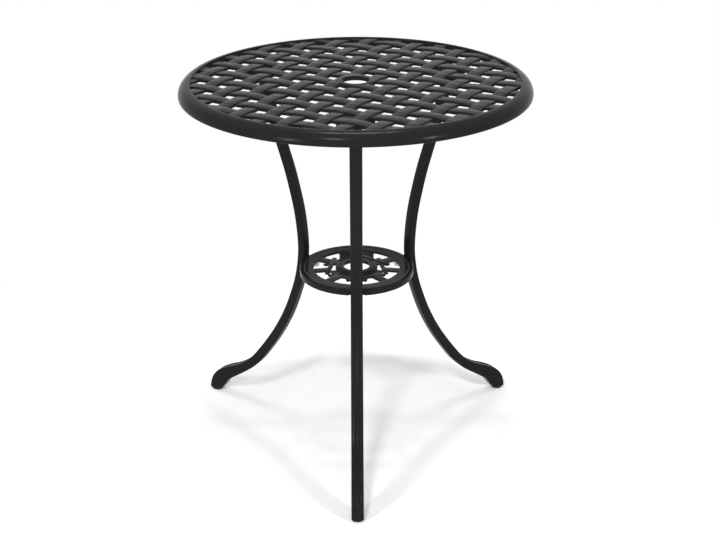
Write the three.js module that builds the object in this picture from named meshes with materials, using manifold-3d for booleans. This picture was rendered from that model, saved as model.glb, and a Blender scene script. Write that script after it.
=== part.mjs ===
// Round cast-aluminium patio table with a woven top, a central umbrella hole,
// three S-curved legs, a small tie shelf at their waist and screw-in levelling glides.
// Millimetres, +Z up. The origin is on the ground, under the middle of the table's outline.
import * as THREE from 'three';
import { mergeVertices } from 'three/addons/utils/BufferGeometryUtils.js';
import Module from 'manifold-3d';

const wasm = await Module();
wasm.setup();

// Tabletop
const topRadius = 300;
const tableHeight = 670;
const rimDrop = 22;              // crown of the rim down to its lower edge
const rimBend = 19;              // radius of the rim's rounded outer face
const rimWall = 4;
const rimBand = 21;              // rim's width seen from above, out to the table's edge
const crownStep = 1.6;           // the rim's crown stands this far above the weave
const weavePitch = 44.75;        // from one weave hole to the next
const stripWidth = 22.4;
const stripThickness = 4.2;      // of a strip where it passes under
const weaveRise = 1.8;           // an over-pass stands this far above an under-pass
const crossingEase = 1.4;        // a strip stays level this far past the strip it crosses
const weaveTurn = -30;           // degrees from the row of holes to +X
const umbrellaHoleRadius = 23.5;
const umbrellaBossWall = 9;
const umbrellaBossDepth = 8;
const rimFaces = 72;
const rimSteps = 4;              // faces round the rim's outer bend
const latticeGrip = 3;           // the lattice runs this far into what it is cast to

// Legs
const legAngles = { front: -90, right: 30, left: 150 };
const legWidth = 21;
const legDepthTop = 12.5;
const legDepthWaist = 13.5;
const legDepthFoot = 19;
const legEdge = 3;               // rounding along the leg's corners
const legTopRadius = 188.5;      // leg's centre line under the tabletop, from the table's axis
const waistRadius = 110.6;       // and at the shelf
const waistHeight = 338;
const footRadius = 315.7;        // and at the sole
const soleLength = 24.6;
const knuckleHeight = 48;        // top of the foot above the ground
const fluteWidth = 8;
const fluteDepth = 1.3;
const legStations = 21;
const footStations = 9;
const footStretch = 0.12;         // the foot's share of the leg's length
const legEdgeSteps = 2;

// Mounting flange of a leg, and the boss under the tabletop that it bolts to
const flangeThickness = 6;
const flangeLength = 62;         // across the leg
const flangeBreadth = 32;
const flangeCorner = 6;
const cornerSteps = 5;           // faces round each of its corners
const flangeBelowRim = 4;        // flange's upper face above the rim's lower edge
const boltSpacing = 42;

// Shelf
const shelfRadius = 101.5;
const shelfHeight = 325;
const shelfSkirt = 12;
const shelfWall = 4;
const shelfPlate = 4.5;
const shelfBand = 25;            // flat ring's width
const hubRadius = 37.5;
const hubCollar = 33;            // radius of the raised collar round the hub's hole
const hubRise = 3;               // collar's top above the ring
const hubRecess = 1.6;           // depth of the recess under the hub
const hubHoleRadius = 24;
const shelfEdge = 1.5;
const latticeDrop = 0.8;         // lattice below the ring's top face
const strutStep = 0.9;           // one set of struts lies this far under the other
const strutWidth = 8;
const strutLength = 72;
const strutOffset = 46.5;        // strut's middle from the table's axis
const strutTurn = 20;            // degrees from a leg to the middle of a strut beside it
const barWidth = 16;             // bars from the struts to the ring
const barTurn = 40;              // degrees from a leg to the bars beside it
const spokeWidth = 18;
const rearPlateWidth = 62;
const rearPlateReach = 42;       // from the axis to the plate's inner edge
const apronRadius = 50;          // rounded web between the hub and the two front struts
const apronTurn = 72;            // degrees from the front leg to the web's ends
const skirtNotch = 27;           // gap left in the skirt for a leg
const lugWidth = 15;
const lugReach = 16;             // lug's inner end from the ring's outer face
const shelfFaces = 54;
const holeFaces = 32;

// Fasteners
const seatGap = 0.3;             // between neighbouring pieces
const boltRadius = 3;
const headAcross = 10;
const headHeight = 4;
const headChamfer = 0.6;
const washerRadius = 6;
const washerThickness = 1.6;
const lockRadius = 5.4;
const lockThickness = 1.6;
const lockSplit = 1;
const topBoltGrip = 8.5;         // thread held in the boss
const shelfScrewGrip = 7;        // thread held in the leg
const holeEndRoom = 1;           // blind hole past the thread's end
const roundFaces = 12;
const headFaces = 6;
const cutOverrun = 5;

// Levelling glide
const padHeight = 4;
const padRadius = 10.4;
const padEdge = 0.8;
const padFaces = 24;
const padSocketDepth = 2.6;
const studRadius = 4;
const studPoint = 0.8;           // bevel at the stud's upper end
const studGrip = 15;             // stud's length inside the insert when screwed home
const insertWall = 1.9;
const insertLength = 15;
const glideRoom = 1.5;           // foot's bore past the stud's upper end

// Worked out from the sizes above
const rad = THREE.MathUtils.degToRad;
const rimInner = topRadius - rimBand;
const rimBottom = tableHeight - rimDrop;
const weaveTop = tableHeight - crownStep;
const weaveLow = weaveTop - weaveRise;
const weaveBottom = weaveLow - stripThickness;
const flangeTop = rimBottom + flangeBelowRim;
const flangeBottom = flangeTop - flangeThickness;
const soleHeight = padHeight + seatGap;
const legEnd = flangeTop - flangeThickness / 2;
const boltHole = boltRadius + seatGap;
const insertBore = studRadius + seatGap;
const insertRadius = insertBore + insertWall;
const footReach = footRadius + soleLength / 2;
const screwHeight = shelfHeight - shelfPlate - seatGap - washerRadius;
const lugBottom = screwHeight - washerRadius;

// A closed geometry as a solid: shared corners merged, collapsed triangles left out, faces outward.
function solidOf(geometry) {
  const bare = geometry.clone();
  bare.deleteAttribute('normal');
  bare.deleteAttribute('uv');
  const merged = mergeVertices(bare);
  const corners = merged.getAttribute('position').array;
  const index = merged.getIndex().array;
  const triangles = [];
  let volume = 0;
  const [a, b, c] = [new THREE.Vector3(), new THREE.Vector3(), new THREE.Vector3()];
  for (let i = 0; i < index.length; i += 3) {
    const [p, q, r] = [index[i], index[i + 1], index[i + 2]];
    if (p === q || q === r || r === p) continue;
    triangles.push([p, q, r]);
    a.fromArray(corners, p * 3);
    b.fromArray(corners, q * 3);
    c.fromArray(corners, r * 3);
    volume += a.dot(b.cross(c));
  }
  const facing = volume < 0 ? triangles.map(([p, q, r]) => [p, r, q]) : triangles;
  return new wasm.Manifold(new wasm.Mesh({
    numProp: 3,
    vertProperties: new Float32Array(corners),
    triVerts: new Uint32Array(facing.flat()),
  }));
}

function geometryOf(solid) {
  const mesh = solid.getMesh();
  const geometry = new THREE.BufferGeometry();
  geometry.setAttribute('position', new THREE.BufferAttribute(new Float32Array(mesh.vertProperties), 3));
  geometry.setIndex(new THREE.BufferAttribute(new Uint32Array(mesh.triVerts), 1));
  return geometry;
}

function joined(solids) {
  return solids.reduce((whole, next) => whole.add(next));
}

// A profile of [radius, height] points turned about the vertical axis.
function turned(profile, faces = roundFaces) {
  const points = [...profile, profile[0]].map(([r, z]) => new THREE.Vector2(r, z));
  return new THREE.LatheGeometry(points, faces).rotateX(Math.PI / 2);
}

function disc(radius, low, high, faces = roundFaces) {
  return turned([[0, low], [radius, low], [radius, high], [0, high]], faces);
}

function tube(inner, outer, low, high, faces = roundFaces) {
  return turned([[inner, low], [outer, low], [outer, high], [inner, high]], faces);
}

// An upright plate or bar: its plan outline raised from low to high.
function raised(shape, low, high, curveSegments = cornerSteps) {
  const flat = new THREE.ExtrudeGeometry(shape, { depth: high - low, bevelEnabled: false, curveSegments });
  return flat.translate(0, 0, low);
}

function rectangle(x0, y0, x1, y1) {
  const corners = [[x0, y0], [x1, y0], [x1, y1], [x0, y1]];
  return new THREE.Shape(corners.map(([x, y]) => new THREE.Vector2(x, y)));
}

function roundedRectangle(width, height, corner) {
  const [x, y] = [width / 2, height / 2];
  const shape = new THREE.Shape();
  shape.moveTo(-x + corner, -y);
  shape.lineTo(x - corner, -y);
  shape.absarc(x - corner, -y + corner, corner, -Math.PI / 2, 0);
  shape.lineTo(x, y - corner);
  shape.absarc(x - corner, y - corner, corner, 0, Math.PI / 2);
  shape.lineTo(-x + corner, y);
  shape.absarc(-x + corner, y - corner, corner, Math.PI / 2, Math.PI);
  shape.lineTo(-x, -y + corner);
  shape.absarc(-x + corner, -y + corner, corner, Math.PI, 1.5 * Math.PI);
  return shape;
}

// A geometry laid on its side, so that what pointed up points away from the table's axis.
function pointingOut(geometry, height) {
  return geometry.rotateY(Math.PI / 2).translate(0, 0, height);
}

// One strip of the weave, laid along X: level at each crossing, sloping in between.
function weaveStrip(row) {
  const reach = Math.ceil(topRadius / weavePitch);
  const halfLevel = stripWidth / 2 + crossingEase;
  const outline = [[-reach * weavePitch, weaveBottom]];
  for (let i = -reach; i < reach; i += 1) {
    const middle = (i + 1 / 2) * weavePitch;
    const level = Math.abs(i + row) % 2 === 1 ? weaveTop : weaveLow;
    outline.push([middle - halfLevel, level], [middle + halfLevel, level]);
  }
  outline.push([reach * weavePitch, weaveBottom]);
  const shape = new THREE.Shape(outline.map(([s, z]) => new THREE.Vector2(s, z)));
  const strip = new THREE.ExtrudeGeometry(shape, { depth: stripWidth, bevelEnabled: false });
  return strip.rotateX(Math.PI / 2).translate(0, (row + 1 / 2) * weavePitch + stripWidth / 2, 0);
}

function weave() {
  const strips = [];
  const rows = Math.ceil(topRadius / weavePitch);
  for (let row = -rows; row < rows; row += 1) {
    const offset = Math.abs((row + 1 / 2) * weavePitch);
    if (offset > rimInner) continue;
    strips.push(solidOf(weaveStrip(row)));
    strips.push(solidOf(weaveStrip(-row - 1).rotateZ(Math.PI / 2)));
  }
  const room = solidOf(disc(rimInner + latticeGrip, weaveBottom - cutOverrun, tableHeight, rimFaces));
  return joined(strips).intersect(room);
}

// Rolled rim: a rounded outer face of even wall, open underneath.
function rim() {
  const centre = [topRadius - rimBend, tableHeight - rimBend];
  const outer = [];
  const inner = [];
  for (let i = 0; i <= rimSteps; i += 1) {
    const turn = (i / rimSteps) * Math.PI / 2;
    outer.push([centre[0] + rimBend * Math.sin(turn), centre[1] + rimBend * Math.cos(turn)]);
    const bend = rimBend - rimWall;
    inner.unshift([centre[0] + bend * Math.sin(turn), centre[1] + bend * Math.cos(turn)]);
  }
  const lip = [[topRadius - rimWall / 4, rimBottom], [topRadius - rimWall, rimBottom]];
  const seat = [[rimInner, weaveBottom], [rimInner, weaveTop]];
  return solidOf(turned([...outer, ...lip, ...inner, ...seat], rimFaces));
}

function boltPlaces() {
  return [-boltSpacing / 2, boltSpacing / 2].map((across) => [legTopRadius, across]);
}

function mountingBoss() {
  const plate = raised(roundedRectangle(flangeBreadth, flangeLength, flangeCorner),
    flangeTop + seatGap, weaveBottom + stripThickness / 2);
  let boss = solidOf(plate.translate(legTopRadius, 0, 0));
  for (const [x, y] of boltPlaces()) {
    const depth = flangeTop + seatGap + topBoltGrip + holeEndRoom;
    const hole = disc(boltHole, flangeTop - cutOverrun, depth);
    boss = boss.subtract(solidOf(hole.translate(x, y, 0)));
  }
  return boss;
}

function tabletop() {
  const bossRadius = umbrellaHoleRadius + umbrellaBossWall;
  const boss = solidOf(disc(bossRadius, weaveTop - umbrellaBossDepth, weaveTop, holeFaces));
  const hole = disc(umbrellaHoleRadius, weaveTop - umbrellaBossDepth - cutOverrun,
    tableHeight + cutOverrun, holeFaces);
  const pads = Object.values(legAngles).map((angle) => {
    const pad = geometryOf(mountingBoss()).rotateZ(rad(angle - weaveTurn));
    return solidOf(pad);
  });
  const along = joined([weave(), rim(), boss, ...pads]).subtract(solidOf(hole));
  return geometryOf(along).rotateZ(rad(weaveTurn));
}

// Centre line of a leg as [out, up] shares: from the waist to the top, and from the waist to the foot.
const upperPathShares = [[0.055, 0.183], [0.17, 0.328], [0.343, 0.489], [0.564, 0.65], [0.782, 0.822], [1, 1]];
const lowerPathShares = [[0.03, 0.152], [0.089, 0.275], [0.165, 0.393], [0.266, 0.512],
  [0.383, 0.621], [0.497, 0.713]];
// Top of the foot and its heel, as shares of the sole's length out from its middle and of the
// knuckle's height.
const footTopShares = [[-3.402, 1.858], [-2.764, 1.594], [-1.992, 1.367], [-1.215, 1.194], [-0.545, 1.01],
  [-0.191, 0.871], [0.024, 0.75], [0.183, 0.64], [0.285, 0.535], [0.423, 0.331]];
const footHeelShares = [[-3.793, 1.538], [-3.211, 1.292], [-2.439, 1.015], [-1.659, 0.748], [-1.264, 0.596],
  [-1.004, 0.421], [-0.74, 0.238]];

function legPath() {
  const upper = upperPathShares.map(([out, up]) => [
    waistRadius + out * (legTopRadius - waistRadius),
    waistHeight + up * (legEnd - waistHeight),
  ]);
  const lower = lowerPathShares.map(([out, down]) => [
    waistRadius + out * (footRadius - waistRadius),
    waistHeight * (1 - down),
  ]);
  return [...upper.reverse(), [waistRadius, waistHeight], ...lower];
}

function legDepth(height) {
  if (height > waistHeight) {
    return THREE.MathUtils.mapLinear(height, waistHeight, legEnd, legDepthWaist, legDepthTop);
  }
  return THREE.MathUtils.mapLinear(height, knuckleHeight, waistHeight, legDepthFoot, legDepthWaist);
}

// The leg's outward and inward edges in its own plane, each from the top down, moved out by extra.
function legEdges(extra = 0) {
  const path = new THREE.SplineCurve(legPath().map(([r, z]) => new THREE.Vector2(r, z)));
  const away = [];
  const inward = [];
  const count = path.points.length * 2;
  for (let i = 0; i <= count; i += 1) {
    const point = path.getPoint(i / count);
    const along = path.getTangent(i / count);
    const half = legDepth(point.y) / 2;
    away.push(new THREE.Vector2(point.x - along.y * half, point.y + along.x * half));
    inward.push(new THREE.Vector2(point.x + along.y * half, point.y - along.x * half));
  }
  const foot = ([out, up]) => new THREE.Vector2(footRadius + out * soleLength, up * knuckleHeight);
  const toe = new THREE.Vector2(footRadius + soleLength / 2, soleHeight);
  const heel = new THREE.Vector2(footRadius - soleLength / 2, soleHeight);
  const outer = new THREE.SplineCurve([...away, ...footTopShares.map(foot), toe]);
  const inner = new THREE.SplineCurve([...inward, ...footHeelShares.map(foot), heel]);
  return [stationsAlong(outer, extra), stationsAlong(inner, -extra)];
}

// Points along an edge of the leg, evenly down the leg and closer together round the foot,
// moved sideways from the edge.
function stationsAlong(edge, sideways) {
  const points = [];
  for (let i = 0; i <= legStations + footStations; i += 1) {
    const body = Math.min(i, legStations) / legStations;
    const foot = Math.max(0, i - legStations) / footStations;
    const share = body * (1 - footStretch) + foot * footStretch;
    const along = edge.getTangentAt(share);
    const aside = new THREE.Vector2(-along.y, along.x).multiplyScalar(sideways);
    points.push(edge.getPointAt(share).add(aside));
  }
  return points;
}

function legBar() {
  const [outer, inner] = legEdges();
  const shape = new THREE.Shape([...outer, ...inner.reverse()]);
  const bar = new THREE.ExtrudeGeometry(shape, {
    depth: legWidth - 2 * legEdge,
    bevelSize: legEdge,
    bevelThickness: legEdge,
    bevelOffset: -legEdge,
    bevelSegments: legEdgeSteps,
  });
  return solidOf(bar.rotateX(Math.PI / 2).translate(0, legWidth / 2 - legEdge, 0));
}

// The space that a leg takes up beside the shelf, with the seat gap all round.
function legRoom() {
  const [outer, inner] = legEdges(seatGap);
  const shape = new THREE.Shape([...outer, ...inner.reverse()]);
  const width = legWidth + 2 * seatGap;
  const room = new THREE.ExtrudeGeometry(shape, { depth: width, bevelEnabled: false });
  return room.rotateX(Math.PI / 2).translate(0, width / 2, 0);
}

// Shallow groove down the outward face, from under the flange to the foot's knuckle.
function flute() {
  const [outer] = legEdges(-fluteDepth);
  const [clear] = legEdges(cutOverrun);
  const knuckle = footRadius - soleLength;
  const kept = outer.map((deep, i) => [deep, clear[i]])
    .filter(([deep]) => deep.x < knuckle && deep.y < flangeBottom - fluteWidth);
  const shape = new THREE.Shape([...kept.map(([deep]) => deep), ...kept.map(([, high]) => high).reverse()]);
  const groove = new THREE.ExtrudeGeometry(shape, { depth: fluteWidth, bevelEnabled: false });
  return solidOf(groove.rotateX(Math.PI / 2).translate(0, fluteWidth / 2, 0));
}

function leg() {
  const flange = raised(roundedRectangle(flangeBreadth, flangeLength, flangeCorner), flangeBottom, flangeTop);
  let solid = legBar().subtract(flute()).add(solidOf(flange.translate(legTopRadius, 0, 0)));
  for (const [x, y] of boltPlaces()) {
    const hole = disc(boltHole, flangeBottom - cutOverrun, flangeTop + cutOverrun);
    solid = solid.subtract(solidOf(hole.translate(x, y, 0)));
  }
  const bore = disc(insertRadius + seatGap, 0, soleHeight + studGrip + glideRoom);
  solid = solid.subtract(solidOf(bore.translate(footRadius, 0, 0)));
  const tapped = pointingOut(disc(boltHole, shelfRadius, screwTip() + holeEndRoom), screwHeight);
  return solid.subtract(solidOf(tapped));
}

// Radius of the leg's inward face at the height of the shelf screws.
function legInwardFace() {
  const [, inner] = legEdges();
  const below = inner.findIndex((point) => point.y < screwHeight);
  const [high, low] = [inner[below - 1], inner[below]];
  return THREE.MathUtils.mapLinear(screwHeight, low.y, high.y, low.x, high.x);
}

function screwTip() {
  return legInwardFace() + shelfScrewGrip;
}

// Shelf: flat ring with a skirt, a hub ring, and a lattice of struts, bars and spokes.
function shelfRing() {
  const plateBottom = shelfHeight - shelfPlate;
  const skirtBottom = shelfHeight - shelfSkirt;
  return solidOf(turned([
    [shelfRadius - shelfBand, plateBottom],
    [shelfRadius - shelfWall, plateBottom],
    [shelfRadius - shelfWall, skirtBottom],
    [shelfRadius, skirtBottom],
    [shelfRadius, shelfHeight - shelfEdge],
    [shelfRadius - shelfEdge, shelfHeight],
    [shelfRadius - shelfBand, shelfHeight],
  ], shelfFaces));
}

function shelfLattice() {
  const top = shelfHeight - latticeDrop;
  const bottom = shelfHeight - shelfPlate;
  const pieces = [];
  const reach = shelfRadius - shelfBand + latticeGrip;
  for (const angle of Object.values(legAngles)) {
    for (const side of [-1, 1]) {
      const level = side > 0 ? top : top - strutStep;
      const strut = rectangle(strutOffset - strutWidth / 2, -strutLength / 2,
        strutOffset + strutWidth / 2, strutLength / 2);
      pieces.push(raised(strut, bottom, level).rotateZ(rad(angle + side * strutTurn)));
      const bar = rectangle(strutOffset, -barWidth / 2, shelfRadius, barWidth / 2);
      pieces.push(raised(bar, bottom, top - strutStep / 2).rotateZ(rad(angle + side * barTurn)));
    }
    const spoke = rectangle(hubRadius - latticeGrip, -spokeWidth / 2, shelfRadius, spokeWidth / 2);
    pieces.push(raised(spoke, bottom, top - strutStep / 3).rotateZ(rad(angle)));
  }
  const plate = rectangle(rearPlateReach, -rearPlateWidth / 2, shelfRadius, rearPlateWidth / 2);
  pieces.push(raised(plate, bottom, top).rotateZ(rad(legAngles.front + 180)));
  const apron = new THREE.Shape([new THREE.Vector2()]);
  apron.absarc(0, 0, apronRadius, rad(legAngles.front - apronTurn), rad(legAngles.front + apronTurn));
  pieces.push(raised(apron, bottom, top - strutStep, holeFaces));
  const room = solidOf(disc(reach, bottom - cutOverrun, shelfHeight, shelfFaces));
  return joined(pieces.map(solidOf)).intersect(room);
}

function shelf() {
  const bottom = shelfHeight - shelfPlate;
  const hub = solidOf(disc(hubRadius, bottom, shelfHeight, holeFaces));
  const collar = solidOf(disc(hubCollar, bottom, shelfHeight + hubRise, holeFaces));
  const lattice = shelfLattice().add(hub).add(collar);
  const hole = disc(hubHoleRadius, bottom - cutOverrun, shelfHeight + cutOverrun, holeFaces);
  const recess = disc((hubHoleRadius + hubCollar) / 2, bottom - cutOverrun, bottom + hubRecess, holeFaces);
  const lugs = [];
  const cuts = [hole, recess];
  const notches = [];
  for (const angle of Object.values(legAngles)) {
    const skirtBottom = shelfHeight - shelfSkirt;
    const lug = rectangle(shelfRadius - lugReach, -lugWidth / 2, waistRadius, lugWidth / 2);
    lugs.push(raised(lug, lugBottom, shelfHeight - shelfEdge).rotateZ(rad(angle)));
    const notch = rectangle(shelfRadius - shelfWall - seatGap, -skirtNotch / 2,
      shelfRadius + cutOverrun, skirtNotch / 2);
    notches.push(raised(notch, skirtBottom - cutOverrun, bottom).rotateZ(rad(angle)));
    cuts.push(legRoom().rotateZ(rad(angle)));
    const bore = disc(boltHole, shelfRadius - shelfBand, footRadius / 2);
    cuts.push(pointingOut(bore, screwHeight).rotateZ(rad(angle)));
  }
  let ring = shelfRing();
  for (const notch of notches) ring = ring.subtract(solidOf(notch));
  let solid = joined([ring, lattice, ...lugs.map(solidOf)]);
  for (const cut of cuts) solid = solid.subtract(solidOf(cut));
  return solid;
}

// Hexagon-headed bolt standing on its head, its shank pointing up.
function bolt(shankLength) {
  const corner = headAcross / Math.sqrt(3);
  const head = turned([
    [0, 0],
    [corner - headChamfer, 0],
    [corner, headChamfer],
    [corner, headHeight],
    [0, headHeight],
  ], headFaces);
  const shank = disc(boltRadius, headHeight / 2, headHeight + shankLength);
  return geometryOf(solidOf(head).add(solidOf(shank)));
}

function washer() {
  return tube(boltHole, washerRadius, 0, washerThickness);
}

// Spring washer: a ring of square section with a narrow split.
function lockWasher() {
  const ring = solidOf(tube(boltHole, lockRadius, 0, lockThickness));
  const split = raised(rectangle(0, -lockSplit / 2, lockRadius + cutOverrun, lockSplit / 2),
    -cutOverrun, lockThickness + cutOverrun);
  return geometryOf(ring.subtract(solidOf(split)));
}

function footInsert() {
  return tube(insertBore, insertRadius, soleHeight, soleHeight + insertLength);
}

// Stud of the levelling glide, from inside the pad's socket up into the foot.
function glideStud() {
  const low = padHeight - padSocketDepth + seatGap;
  const high = soleHeight + studGrip;
  return turned([
    [0, low],
    [studRadius, low],
    [studRadius, high - studPoint],
    [studRadius - studPoint, high],
    [0, high],
  ]);
}

function glidePad() {
  const socket = padHeight - padSocketDepth;
  return turned([
    [0, 0],
    [padRadius - padEdge, 0],
    [padRadius, padEdge],
    [padRadius, padHeight],
    [insertBore, padHeight],
    [insertBore, socket],
    [0, socket],
  ], padFaces);
}

function finish(color, roughness, metalness) {
  return new THREE.MeshStandardMaterial({ color, roughness, metalness });
}

const powderCoat = finish(0x2b2b2c, 0.42, 0.35);
const zincSteel = finish(0x9a9c9e, 0.35, 0.9);
const brass = finish(0xb08d4a, 0.4, 0.9);
const plastic = finish(0x1c1a1a, 0.6, 0);

const table = new THREE.Group();

function place(parent, name, geometry, material, x = 0, y = 0, z = 0) {
  const mesh = new THREE.Mesh(geometry, material);
  mesh.name = name;
  mesh.position.set(x, y, z);
  parent.add(mesh);
}

place(table, 'tabletop', tabletop(), powderCoat);
place(table, 'shelf', geometryOf(shelf()), powderCoat);

for (const [side, angle] of Object.entries(legAngles)) {
  const corner = new THREE.Group();
  corner.rotation.z = rad(angle);
  table.add(corner);
  place(corner, `leg_${side}`, geometryOf(leg()), powderCoat);

  // Top bolts, each with a flat washer against the flange and a spring washer under its head.
  boltPlaces().forEach(([x, y], i) => {
    const washerBase = flangeBottom - seatGap - washerThickness;
    const lockBase = washerBase - seatGap - lockThickness;
    const headBase = lockBase - seatGap - headHeight;
    const shank = flangeTop + seatGap + topBoltGrip - headBase - headHeight;
    place(corner, `top_washer_${side}_${i + 1}`, washer(), zincSteel, x, y, washerBase);
    place(corner, `top_lock_washer_${side}_${i + 1}`, lockWasher(), zincSteel, x, y, lockBase);
    place(corner, `top_bolt_${side}_${i + 1}`, bolt(shank), zincSteel, x, y, headBase);
  });

  // Shelf screw, driven outwards through the shelf's lug into the leg.
  const washerFace = shelfRadius - lugReach - seatGap - washerThickness;
  const screwFace = washerFace - seatGap - headHeight;
  const shank = screwTip() - screwFace - headHeight;
  const outward = new THREE.Group();
  outward.rotation.y = Math.PI / 2;
  outward.position.z = screwHeight;
  corner.add(outward);
  place(outward, `shelf_washer_${side}`, washer(), zincSteel, 0, 0, washerFace);
  place(outward, `shelf_screw_${side}`, bolt(shank), zincSteel, 0, 0, screwFace);

  place(corner, `foot_insert_${side}`, footInsert(), brass, footRadius);
  place(corner, `glide_stud_${side}`, glideStud(), zincSteel, footRadius);
  place(corner, `glide_pad_${side}`, glidePad(), plastic, footRadius);
}

// The front foot reaches further than the tabletop's edge, so the outline's middle is off the table's axis.
table.position.y = (footReach - topRadius) / 2;

export default table;
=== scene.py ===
import bpy
import bmesh
import math
from mathutils import Matrix, Vector


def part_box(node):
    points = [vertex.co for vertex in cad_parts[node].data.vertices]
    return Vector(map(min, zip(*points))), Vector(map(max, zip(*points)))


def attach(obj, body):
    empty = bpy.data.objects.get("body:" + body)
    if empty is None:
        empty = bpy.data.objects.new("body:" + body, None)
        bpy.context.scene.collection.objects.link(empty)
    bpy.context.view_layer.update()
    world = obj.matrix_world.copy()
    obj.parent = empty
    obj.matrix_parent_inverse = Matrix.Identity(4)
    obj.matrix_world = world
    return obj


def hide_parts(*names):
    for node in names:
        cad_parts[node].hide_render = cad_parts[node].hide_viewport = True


# Round cast patio table: woven top, S-curved legs, small shelf, screw-in glides. Metres.
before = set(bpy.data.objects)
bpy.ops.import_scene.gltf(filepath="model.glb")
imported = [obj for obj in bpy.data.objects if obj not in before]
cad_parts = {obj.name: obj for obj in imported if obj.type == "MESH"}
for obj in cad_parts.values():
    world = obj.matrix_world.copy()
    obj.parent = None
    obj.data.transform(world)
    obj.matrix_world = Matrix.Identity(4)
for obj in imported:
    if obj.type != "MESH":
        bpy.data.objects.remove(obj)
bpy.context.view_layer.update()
bpy.ops.object.select_all(action="DESELECT")
print("frame loaded:", len(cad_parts), "nodes")

topLow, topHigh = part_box("tabletop")
tableAxis = Vector(((topLow.x + topHigh.x) / 2, (topLow.y + topHigh.y) / 2, 0))
legTurns = {"front": -90, "right": 30, "left": 150}  # degrees from +X
mergeGap = 0.000002
spare = 0.01        # how far a cutter reaches past what it cuts
startRadius = 0.01  # of a circle whose vertices are then moved
boreSides = 40      # of a hole for a screw or a stud
roundSides = 96     # of the umbrella boss, the shelf's hub and their holes


# Helpers for shaping a piece

def pick(piece):
    bpy.ops.object.select_all(action="DESELECT")
    bpy.context.view_layer.objects.active = piece
    piece.select_set(True)


def startEditing(piece):
    pick(piece)
    bpy.ops.object.mode_set(mode="EDIT")
    bpy.ops.mesh.select_mode(type="VERT")


def selectVerts(piece, wanted):
    bpy.ops.mesh.select_all(action="DESELECT")
    mesh = bmesh.from_edit_mesh(piece.data)
    for corner in mesh.verts:
        corner.select_set(wanted(corner.co))
    mesh.select_flush(True)
    bmesh.update_edit_mesh(piece.data)


def selectFaces(piece, wanted):
    bpy.ops.mesh.select_mode(type="FACE")
    bpy.ops.mesh.select_all(action="DESELECT")
    mesh = bmesh.from_edit_mesh(piece.data)
    for face in mesh.faces:
        face.select_set(wanted(face))
    bmesh.update_edit_mesh(piece.data)


def closeUp(piece):
    bpy.ops.mesh.select_mode(type="VERT")
    bpy.ops.mesh.select_all(action="SELECT")
    bpy.ops.mesh.remove_doubles(threshold=mergeGap)
    bpy.ops.mesh.normals_make_consistent(inside=False)
    bpy.ops.object.mode_set(mode="OBJECT")


def applyModifier(piece, modifier):
    pick(piece)
    bpy.ops.object.modifier_apply(modifier=modifier.name)


def combine(piece, other, operation):  # UNION, DIFFERENCE or INTERSECT, and the other one is used up
    modifier = piece.modifiers.new("combine", "BOOLEAN")
    modifier.operation = operation
    modifier.object = other
    modifier.solver = "EXACT"
    applyModifier(piece, modifier)
    bpy.data.objects.remove(other)


def smoothBy(piece, degrees):
    pick(piece)
    bpy.ops.object.shade_smooth_by_angle(angle=math.radians(degrees))


def settle(piece):  # place and turn go into the mesh
    pick(piece)
    bpy.ops.object.transform_apply(location=True, rotation=True, scale=True)


def copyOf(piece, name, place):
    twin = piece.copy()
    twin.data = piece.data.copy()
    twin.name = name
    bpy.context.collection.objects.link(twin)
    twin.matrix_world = place
    settle(twin)
    return twin


def atLeg(side):  # from a leg's own frame, X outwards, to its place in the table
    return Matrix.Translation(tableAxis) @ Matrix.Rotation(math.radians(legTurns[side]), 4, "Z")


def handOver(piece, body, slotName, material, *nodes):
    piece.data.materials.clear()
    piece.data.materials.append(material)
    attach(piece, body)
    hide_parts(*nodes)


def clamp(value):
    return max(0, min(1, value))


def softCorners(corners, steps):  # outline of (x, z, radius) corners, each rounded by an arc
    points = []
    count = len(corners)
    for i, (x, z, radius) in enumerate(corners):
        here = Vector((x, z))
        if radius == 0:
            points.append(here)
            continue
        before = (Vector(corners[i - 1][:2]) - here).normalized()
        after = (Vector(corners[(i + 1) % count][:2]) - here).normalized()
        half = before.angle(after) / 2
        middle = here + (before + after).normalized() * radius / math.sin(half)
        start = here + before * radius / math.tan(half) - middle
        swing = start.angle_signed(here + after * radius / math.tan(half) - middle)
        for step in range(steps + 1):
            points.append(middle + Matrix.Rotation(-swing * step / steps, 2) @ start)
    return points


def softOutline(places, rounds, steps):
    return softCorners([(*place, radius) for place, radius in zip(places, rounds)], steps)


def ringOf(name, places):  # a closed line through these places, left in edit mode
    bpy.ops.object.select_all(action="DESELECT")
    bpy.ops.mesh.primitive_circle_add(vertices=len(places), radius=startRadius)
    piece = bpy.context.object
    piece.name = name
    startEditing(piece)
    mesh = bmesh.from_edit_mesh(piece.data)
    for corner, place in zip(mesh.verts, places):
        corner.co = place
    bmesh.update_edit_mesh(piece.data)
    return piece


def turned(name, outline, steps):  # an outline of (radius, height) spun about Z
    piece = ringOf(name, [(radius, 0, height) for radius, height in outline])
    mesh = bmesh.from_edit_mesh(piece.data)
    onAxis = [edge for edge in mesh.edges if all(abs(corner.co.x) < mergeGap for corner in edge.verts)]
    for edge in onAxis:
        mesh.edges.remove(edge)
    bmesh.update_edit_mesh(piece.data)
    bpy.ops.mesh.select_all(action="SELECT")
    bpy.ops.mesh.spin(steps=steps, angle=math.tau, center=(0, 0, 0), axis=(0, 0, 1))
    closeUp(piece)
    return piece


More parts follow.
